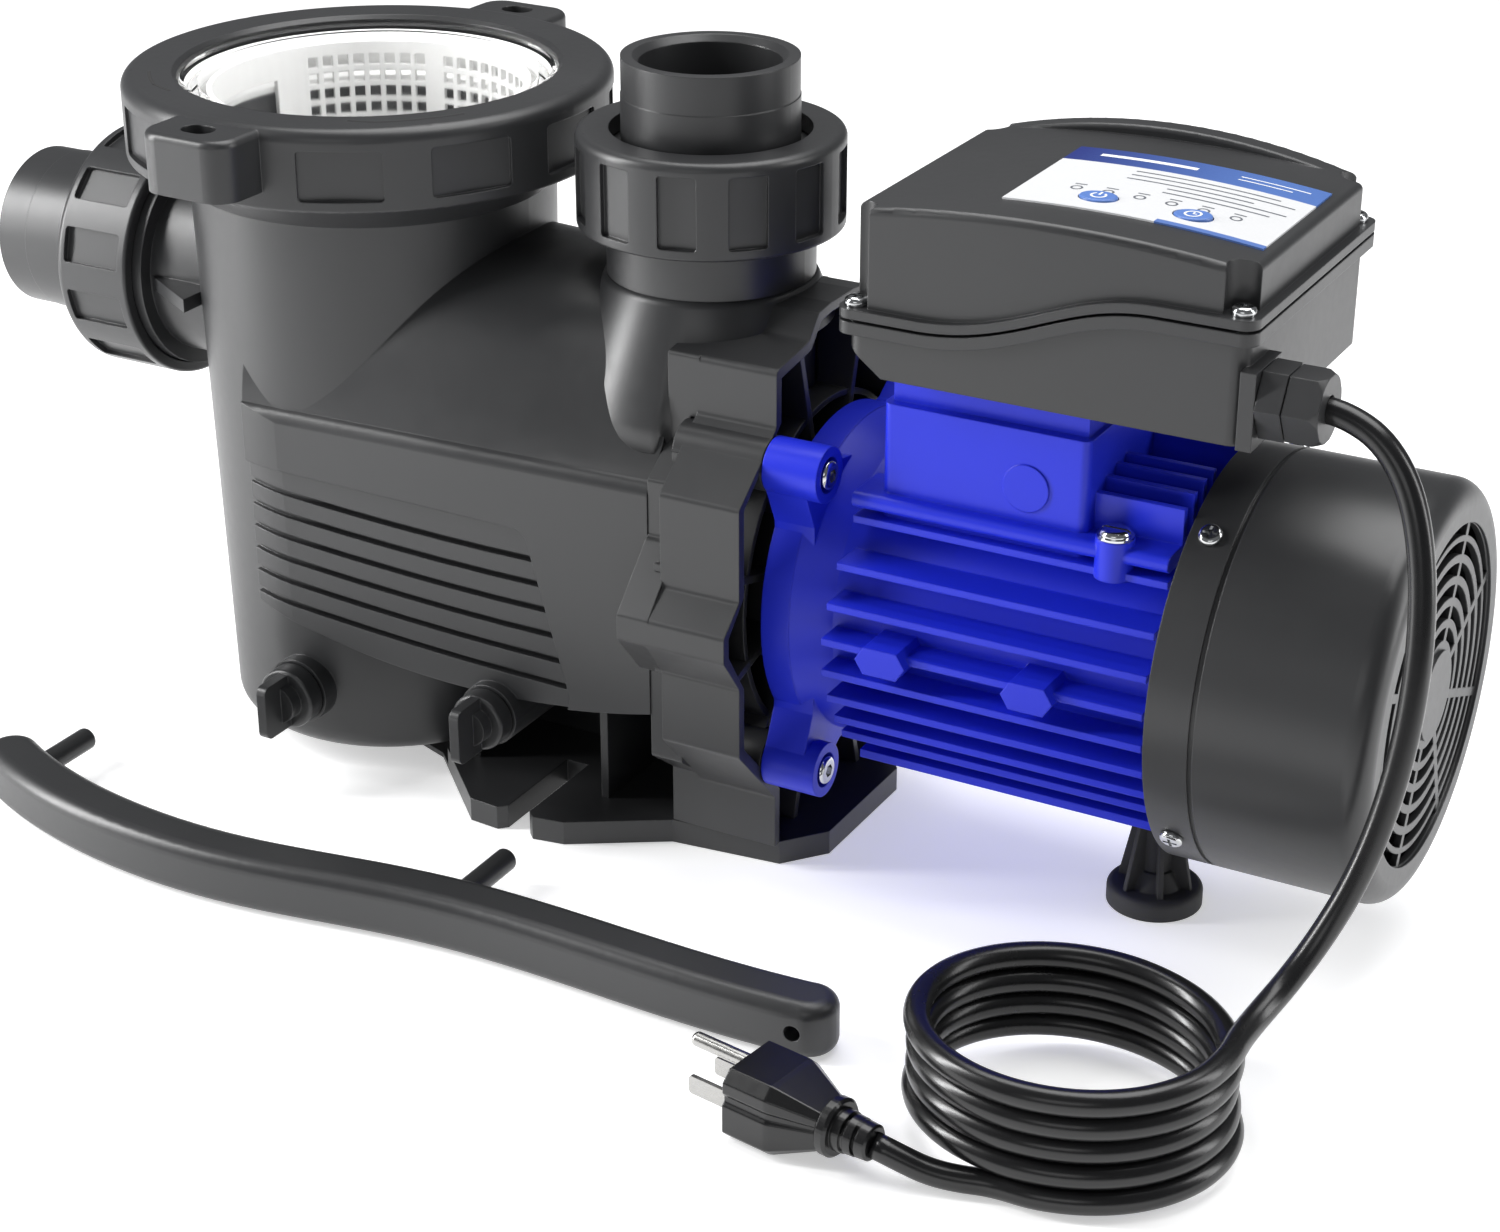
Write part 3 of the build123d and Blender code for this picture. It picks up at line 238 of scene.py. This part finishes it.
# From the bottom of the coil to the plug.
LEAD_ROUTE = ((197, -182.4, 4.3), (187, -185.8, 4.5), (178.5, -188.4, 5.9), (170.5, -190.2, 8.9),
              (162.2, -191.7, 12.0))
COIL_X, COIL_Y = 203.0, -140.0
COIL_HALF_X, COIL_HALF_Y = 48.2, 42.6
COIL_LOW_Z = 4.2
TURNS = 4.3
TURN_POINTS = 18
PITCH = 8.35
# The coil's last part swings out by this much to meet the lead.
SWING_FROM, SWING_OUT = 3.9, 1.6


def coil_points():
    """From the right of the coil, clockwise seen from above, down to its front."""
    points = []
    count = round(TURNS * TURN_POINTS)
    for k in range(count):
        turn = k / TURN_POINTS
        angle = -2 * math.pi * turn
        ease = 0.7 * math.sin(2.1 * turn + 0.6) + (SWING_OUT if turn > SWING_FROM else 0.0)
        x = COIL_X + (COIL_HALF_X + ease) * math.cos(angle)
        y = COIL_Y + (COIL_HALF_Y + ease * 0.8) * math.sin(angle)
        points.append((x, y, COIL_LOW_Z + PITCH * (TURNS - turn)))
    return points


def centreline(controls, samples=6):
    """A smooth curve that starts and ends on the first and last control point, in metres."""
    controls = [Vector(point) * MM for point in controls]
    line = [controls[0]]
    for before, here, after in zip(controls, controls[1:], controls[2:]):
        for k in range(samples):
            t = k / samples
            weights = 0.5 * (1 - t) ** 2, 0.5 + t * (1 - t), 0.5 * t * t
            line.append(before * weights[0] + here * weights[1] + after * weights[2])
    line.append((controls[-2] + controls[-1]) / 2)
    line.append(controls[-1])
    return line


def swept_rings(line, radius, sides):
    """Circles square to the line, each turned as little as possible from the one before."""
    rings = []
    out = None
    for k, point in enumerate(line):
        heading = (line[min(k + 1, len(line) - 1)] - line[max(k - 1, 0)]).normalized()
        out = heading.orthogonal() if out is None else out - heading * out.dot(heading)
        out = out.normalized()
        over = heading.cross(out)
        ring = []
        for c in range(sides):
            angle = 2 * math.pi * c / sides
            ring.append(point + (out * math.cos(angle) + over * math.sin(angle)) * radius)
        rings.append(ring)
    return rings


def power_cord():
    line = centreline(list(DROP_ROUTE) + coil_points() + list(LEAD_ROUTE))
    rings = swept_rings(line, CORD_R, CORD_SIDES)
    obj = skinned("power_cord", rings, "cord_jacket", "cord_drop", "cord_coil", "cord_lead")
    for face in obj.data.polygons:
        face.use_smooth = True


# --- Meshes ---
def mesh_object(name, points, faces, slot, body):
    data = bpy.data.meshes.new(name)
    data.from_pydata(points, [], faces)
    data.update()
    obj = bpy.data.objects.new(name, data)
    bpy.context.scene.collection.objects.link(obj)
    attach(obj, body)
    obj.data.materials.append(MATERIALS[slot])
    return obj


def skinned(name, rings, slot, *replaced):
    """A closed skin over rings of points, each ring with the same count."""
    count = len(rings[0])
    points = [point for ring in rings for point in ring]
    faces = [tuple(reversed(range(count)))]
    for k in range(len(rings) - 1):
        for c in range(count):
            n = (c + 1) % count
            faces.append((k * count + c, k * count + n, (k + 1) * count + n, (k + 1) * count + c))
    last = (len(rings) - 1) * count
    faces.append(tuple(last + c for c in range(count)))
    obj = mesh_object(name, points, faces, slot, "root")
    obj.data.validate()
    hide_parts(*replaced)
    return obj


def surface_of(name):
    data = NODES[name].data
    return BVHTree.FromPolygons([v.co for v in data.vertices], [p.vertices for p in data.polygons])


def bar(first, last, width, steps=8):
    """A straight stroke between two points in the plane, as quads."""
    a, b = Vector(first), Vector(last)
    side = (b - a).orthogonal().normalized() * (width / 2)
    quads = []
    for k in range(steps):
        low, high = a.lerp(b, k / steps), a.lerp(b, (k + 1) / steps)
        quads.append((low - side, high - side, high + side, low + side))
    return quads


def arc(centre, radius, width, first, last, steps=36):
    """A curved stroke; the angles are in degrees."""
    quads = []
    for k in range(steps):
        corners = []
        for share, reach in ((k, -0.5), (k + 1, -0.5), (k + 1, 0.5), (k, 0.5)):
            angle = math.radians(first + (last - first) * share / steps)
            edge = radius + reach * width
            corners.append(Vector((centre[0] + edge * math.cos(angle), centre[1] + edge * math.sin(angle))))
        quads.append(tuple(corners))
    return quads


def on_surface(name, quads, onto, lift, slot, body):
    """Lays flat quads, in millimetres, on top of a CAD node."""
    tree = surface_of(onto)
    points, faces = [], []
    for quad in quads:
        face = []
        for corner in quad:
            x, y = corner[0] * MM, corner[1] * MM
            hit = tree.ray_cast(Vector((x, y, 0.4)), Vector((0, 0, -1)))[0]
            if hit is None:
                continue
            face.append(len(points))
            points.append((x, y, hit.z + lift * MM))
        if len(face) == 4:
            faces.append(face)
    obj = mesh_object(name, points, faces, slot, body)
    return obj


def label_lines():
    """Plain rules in rows where a label has its small print, and six little marks below."""
    quads = []
    for row, (left, right) in enumerate(((150, 198), (150, 204), (150, 192), (165, 204), (165, 200))):
        y = 8.0 - 4.0 * row
        quads += bar((left, y), (right, y), 0.85, 16)
    for k in range(6):
        x = 138 + 10.5 * k
        quads += bar((x, -12.8), (x + 4.0, -12.8), 0.8, 3)
        quads += arc((x + 2.0, -16.6), 1.7, 0.7, 0, 360, 20)
    on_surface("label_lines", quads, "control_panel", 0.05, "print_grey", "root")


def label_heading():
    """A plain white bar and two thinner ones on the blue band."""
    quads = bar((133, 20), (166, 20), 2.4, 12) + bar((180, 21.5), (203, 21.5), 0.7, 8)
    quads += bar((180, 18.5), (198, 18.5), 0.7, 8)
    on_surface("label_heading", quads, "control_panel", 0.05, "print_white", "root")


def power_icon():
    """An open ring with a stroke through its gap."""
    x, y = 150.0, -23.0
    quads = arc((x, y), 2.3, 0.75, 125, 415, 30) + bar((x, y + 0.4), (x, y + 3.3), 0.75, 3)
    on_surface("power_icon", quads, "power_button", 0.05, "print_white", "power_button")


def clock_icon():
    """A ring with two hands."""
    x, y = 181.0, -23.0
    quads = arc((x, y), 2.5, 0.75, 0, 360, 36) + bar((x, y), (x, y + 1.6), 0.6, 2)
    quads += bar((x, y), (x + 1.3, y), 0.6, 2)
    on_surface("clock_icon", quads, "timer_button", 0.05, "print_white", "timer_button")


def ring_arrows():
    """Two thin arrows on the lock ring's top, for open and close, painted darker than the ring as painted
    shade standing in for their engraved grooves.
    """
    quads = []
    width = 1.2
    shaft_r, tip_r = 76.8, 74.2
    for first, last, tip in ((-30, -53, -60), (-142, -129, -121)):
        quads += arc((POT_X, 0), shaft_r, width, first, last, 24)
        near, far = math.radians(last), math.radians(tip)
        a = (POT_X + shaft_r * math.cos(near), shaft_r * math.sin(near))
        b = (POT_X + tip_r * math.cos(far), tip_r * math.sin(far))
        quads += bar(a, b, width, 6)
    on_surface("ring_arrows", quads, "lock_ring", 0.04, "engraved", "lock_ring")


# --- Plug ---
PLUG_FACE = Vector((116.0, -184.0, 12.4))
# One side of the plug's section, from below, as (y, z) with a channel in its flank.
PLUG_SIDE = ((10.5, -12.0), (13.5, -9.0), (13.5, 0.5), (12.3, 1.7), (12.3, 3.6), (13.2, 4.8), (13.2, 8.5),
             (9.6, 12.0))
PLUG_OUTLINE = ((-10.5, -12.0),) + PLUG_SIDE + tuple((-y, z) for y, z in reversed(PLUG_SIDE[1:]))
# How far back from the face, and how large the section is there.
PLUG_STATIONS = ((0.0, 1.0), (16.0, 1.0), (17.5, 0.97), (29.8, 0.60), (31.4, 0.55))
# How far back from the face, and the radius there.
RELIEF_PROFILE = ((31.0, 7.0), (31.0, 8.6), (31.9, 9.5), (34.4, 9.5), (35.3, 8.6), (35.3, 6.9),
                  (38.4, 6.7), (38.4, 4.9), (39.7, 4.9), (39.7, 6.4), (42.4, 6.2), (42.4, 4.8),
                  (43.7, 4.8), (43.7, 6.0), (46.9, 5.8), (47.5, 5.1))
# The bridges over the grooves: their radius, how far along they run, and where they change sides.
BRIDGE_R = 6.1
BRIDGES_FROM, BRIDGES_TO, BRIDGES_CHANGE = 36, 46, 40


def plug_point(x, y, z):
    """From the plug's own axes, whose X runs from its face back along the cord, to metres."""
    tail = Vector(LEAD_ROUTE[-1])
    back = Vector((tail.x - PLUG_FACE.x, tail.y - PLUG_FACE.y, 0)).normalized()
    left = Vector((-back.y, back.x, 0))
    return (PLUG_FACE + back * x + left * y + Vector((0, 0, z))) * MM


def soften(obj, width, segments, angle):
    """Rounds the edges that are sharper than this angle, in degrees."""
    soft = obj.modifiers.new("soft", "BEVEL")
    soft.width = width * MM
    soft.segments = segments
    soft.limit_method = "ANGLE"
    soft.angle_limit = math.radians(angle)


def plug_head():
    rings = []
    for x, share in PLUG_STATIONS:
        rings.append([plug_point(x, y * share, z * share) for y, z in PLUG_OUTLINE])
    obj = skinned("plug_head", rings, "cord_jacket", "plug_body")
    soften(obj, 0.8, 3, 12)


def plug_relief():
    """A collar and three rings, joined by bridges on alternate sides."""
    count = 48
    rings = []
    for x, radius in RELIEF_PROFILE:
        ring = []
        for c in range(count):
            angle = 2 * math.pi * c / count
            toward = abs(math.cos(angle)) if x < BRIDGES_CHANGE else abs(math.sin(angle))
            in_groove = BRIDGES_FROM < x < BRIDGES_TO and radius < 5
            reach = BRIDGE_R if in_groove and toward > 0.9 else radius
            ring.append(plug_point(x, reach * math.cos(angle), reach * math.sin(angle)))
        rings.append(ring)
    obj = skinned("plug_relief", rings, "cord_jacket", "plug_strain_relief")
    soften(obj, 0.3, 2, 40)


# --- Neck ---
# Heights and radii down the outside and back up inside the neck.
FAIRING_FOOT_Z = 148.0
FAIRING_MID_R = 48.7
FAIRING_PROFILE = ((200.5, 35.6), (200.5, 36.4), (198.2, 37.6), (184.0, 43.2), (170.0, FAIRING_MID_R),
                   (160.0, 51.2), (FAIRING_FOOT_Z, 54.0), (FAIRING_FOOT_Z, 35.6))
HOOD_END_X = 9.0
BRACKET_FRONT_X = 12.0
BRACKET_HALF = 46.2
BRACKET_TOP_Z = 185.5
BRACKET_TOP_R = 42.6


def fairing_ring(angle):
    """One upright slice. Over the bracket, behind the hood, it stops at the bracket's top."""
    ring = []
    over_bracket = FAIRING_MID_R * math.cos(angle) > BRACKET_FRONT_X
    for z, radius in FAIRING_PROFILE:
        if over_bracket and z < BRACKET_TOP_Z:
            # The points stay a hair apart, so that no face has an area of zero.
            z = BRACKET_TOP_Z + (z - FAIRING_FOOT_Z) * 0.001
            radius = min(radius, BRACKET_TOP_R)
        x, y = radius * math.cos(angle), radius * math.sin(angle)
        if x > HOOD_END_X:
            y = max(-BRACKET_HALF, min(BRACKET_HALF, y))
        ring.append(Vector((x, y, z)) * MM)
    return ring


def in_pot(angle, radius, z):
    """A point round the pot's upright axis, in metres."""
    return Vector((POT_X + radius * math.cos(angle), radius * math.sin(angle), z)) * MM


def ring_of_slices(name, slices, slot, body):
    """A closed ring through upright slices, each a loop with the same count of points."""
    size = len(slices[0])
    points = [point for ring in slices for point in ring]
    faces = []
    for c in range(len(slices)):
        n = (c + 1) % len(slices)
        for k in range(size):
            m = (k + 1) % size
            faces.append((c * size + k, c * size + m, n * size + m, n * size + k))
    obj = mesh_object(name, points, faces, slot, body)
    for face in obj.data.polygons:
        face.use_smooth = True
    return obj


def neck_fairing():
    """The flare round the foot of the discharge neck."""
    count = 180
    slices = [fairing_ring(2 * math.pi * c / count) for c in range(count)]
    ring_of_slices("neck_fairing", slices, "black_plastic", "root")


def lid_liner():
    """The white ring that shows through the lid's rim, just outside its spigot."""
    profile = ((232.6, 64.7), (246.4, 64.7), (246.4, 65.2), (232.6, 65.2))
    slices = []
    count = 180
    for c in range(count):
        angle = 2 * math.pi * c / count
        slices.append([in_pot(angle, radius, z) for z, radius in profile])
    ring_of_slices("lid_liner", slices, "white_plastic", "lid")


# --- Basket ---
BASKET_FLOOR_Z, BASKET_TOP_Z = 24.5, 245.2
BASKET_COLUMNS, BASKET_ROWS = 120, 74
RIM_Z = 232.0
RIM_RADII = (57.2, 64.4)
INLET_ANGLE, INLET_HALF_WIDTH = 180.0, 16.5
INLET_FROM_Z, INLET_TO_Z = 143.0, 234.0
SLOTS_FROM_Z, SLOTS_TO_Z = 32.0, 241.0
BAND_Z, BAND_HALF_HEIGHT = 140.0, 4.0


def basket_radius(z):
    """The wall leans out by 7.1 mm over 221.5 mm."""
    return 50.5 + (z - 24.0) * (57.6 - 50.5) / 221.5


def column_edge(column):
    """Bars 2 degrees wide alternate with slots 4 degrees wide."""
    return math.radians(6.0 * (column // 2) + 2.0 * (column % 2))


def row_edge(row):
    """Bars 2 mm high alternate with slots 4 mm high."""
    return min(BASKET_FLOOR_Z + 6.0 * (row // 2) + 2.0 * (row % 2), BASKET_TOP_Z)


def wall_is_solid(column, row):
    """The inlet is open. Slots fill the rest, but for a wide and a narrow upright band and a level one."""
    angle = math.degrees(column_edge(column) + column_edge(column + 1)) / 2
    z = (row_edge(row) + row_edge(row + 1)) / 2
    if abs(angle - INLET_ANGLE) < INLET_HALF_WIDTH and INLET_FROM_Z < z < INLET_TO_Z:
        return False
    slotted = column % 2 == 1 and row % 2 == 1 and SLOTS_FROM_Z < z < SLOTS_TO_Z
    upright_band = 148.0 < angle < 212.0 or 98.0 < angle < 105.0
    return upright_band or abs(z - BAND_Z) < BAND_HALF_HEIGHT or not slotted


def basket_rim(mesh):
    """The flat rim that rests on the pot, a little below the top of the wall."""
    rings = []
    for radius in RIM_RADII:
        ring = [in_pot(column_edge(c), radius, RIM_Z) for c in range(BASKET_COLUMNS)]
        rings.append([mesh.verts.new(point) for point in ring])
    inner, outer = rings
    for c in range(BASKET_COLUMNS):
        n = (c + 1) % BASKET_COLUMNS
        mesh.faces.new((inner[c], outer[c], outer[n], inner[n]))


def basket_mesh():
    """The wall, the rim and the flat floor, as single sheets."""
    mesh = bmesh.new()
    grid = {}
    for c in range(BASKET_COLUMNS):
        for r in range(BASKET_ROWS + 1):
            z = row_edge(r)
            grid[c, r] = mesh.verts.new(in_pot(column_edge(c), basket_radius(z), z))
    for c in range(BASKET_COLUMNS):
        n = (c + 1) % BASKET_COLUMNS
        for r in range(BASKET_ROWS):
            if wall_is_solid(c, r):
                mesh.faces.new((grid[c, r], grid[n, r], grid[n, r + 1], grid[c, r + 1]))
    basket_rim(mesh)
    centre = mesh.verts.new(in_pot(0.0, 0.0, BASKET_FLOOR_Z))
    for c in range(BASKET_COLUMNS):
        mesh.faces.new((grid[c, 0], centre, grid[(c + 1) % BASKET_COLUMNS, 0]))
    bmesh.ops.recalc_face_normals(mesh, faces=mesh.faces)
    data = bpy.data.meshes.new("basket_shell")
    mesh.to_mesh(data)
    mesh.free()
    return data


def strainer_basket():
    data = basket_mesh()
    obj = bpy.data.objects.new("basket_shell", data)
    bpy.context.scene.collection.objects.link(obj)
    thick = obj.modifiers.new("thick", "SOLIDIFY")
    thick.thickness = 2.0 * MM
    thick.offset = -1.0
    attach(obj, "basket")
    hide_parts("strainer_basket")
    paint(obj, "white_plastic")


# --- Stage ---
def floor():
    data = bpy.data.meshes.new("floor")
    data.from_pydata([(-6, -6, 0), (6, -6, 0), (6, 6, 0), (-6, 6, 0)], [], [(0, 1, 2, 3)])
    obj = bpy.data.objects.new("floor", data)
    bpy.context.scene.collection.objects.link(obj)
    obj.location.z = -0.0002
    material, tree, shader, place = start("floor")
    soft = noise(tree, place, 2.0, 2.0)
    tree.links.new(mix(tree, soft, grey(0.89), grey(0.91)), shader.inputs["Base Color"])
    shader.inputs["Roughness"].default_value = 0.6
    shader.inputs["Emission Color"].default_value = grey(1.0)
    shader.inputs["Emission Strength"].default_value = 0.45
    obj.data.materials.append(material)


def area_light(name, place, aim, size, power):
    data = bpy.data.lights.new(name, "AREA")
    data.shape = "RECTANGLE"
    data.size, data.size_y = size
    data.energy = power
    obj = bpy.data.objects.new(name, data)
    bpy.context.scene.collection.objects.link(obj)
    obj.location = place
    obj.rotation_mode = "QUATERNION"
    obj.rotation_quaternion = (Vector(aim) - Vector(place)).to_track_quat("-Z", "Y")


def lights():
    area_light("top", (0.05, 0.30, 1.45), (0.0, 0.0, 0.10), (1.5, 1.0), 23.0)
    area_light("left", (-1.05, -0.60, 0.60), (-0.05, 0.0, 0.12), (0.18, 1.1), 22.0)
    area_light("front", (0.35, -1.6, 0.8), (0.0, 0.0, 0.1), (0.9, 0.5), 2.0)
    area_light("right", (1.25, 0.35, 0.6), (0.15, 0.0, 0.15), (0.3, 1.1), 7.0)
    world = bpy.data.worlds.new("studio")
    bpy.context.scene.world = world
    world.use_nodes = True
    background = world.node_tree.nodes["Background"]
    background.inputs["Color"].default_value = (0.95, 0.97, 1.0, 1)
    background.inputs["Strength"].default_value = 0.17


def camera():
    data = bpy.data.cameras.new("camera")
    data.sensor_fit = "HORIZONTAL"
    data.sensor_width = 36.0
    data.lens = 72.02
    data.clip_end = 50.0
    obj = bpy.data.objects.new("camera", data)
    bpy.context.scene.collection.objects.link(obj)
    obj.location = (0.48487, -0.85311, 0.53456)
    obj.rotation_euler = (math.radians(90 - 25.43), 0.0, math.radians(28.846))
    bpy.context.scene.camera = obj


bpy.context.scene.view_settings.view_transform = "Standard"
camera()
paint_cad_nodes()
plug_head()
plug_relief()
power_cord()
neck_fairing()
lid_liner()
strainer_basket()
label_lines()
label_heading()
power_icon()
clock_icon()
ring_arrows()
floor()
lights()
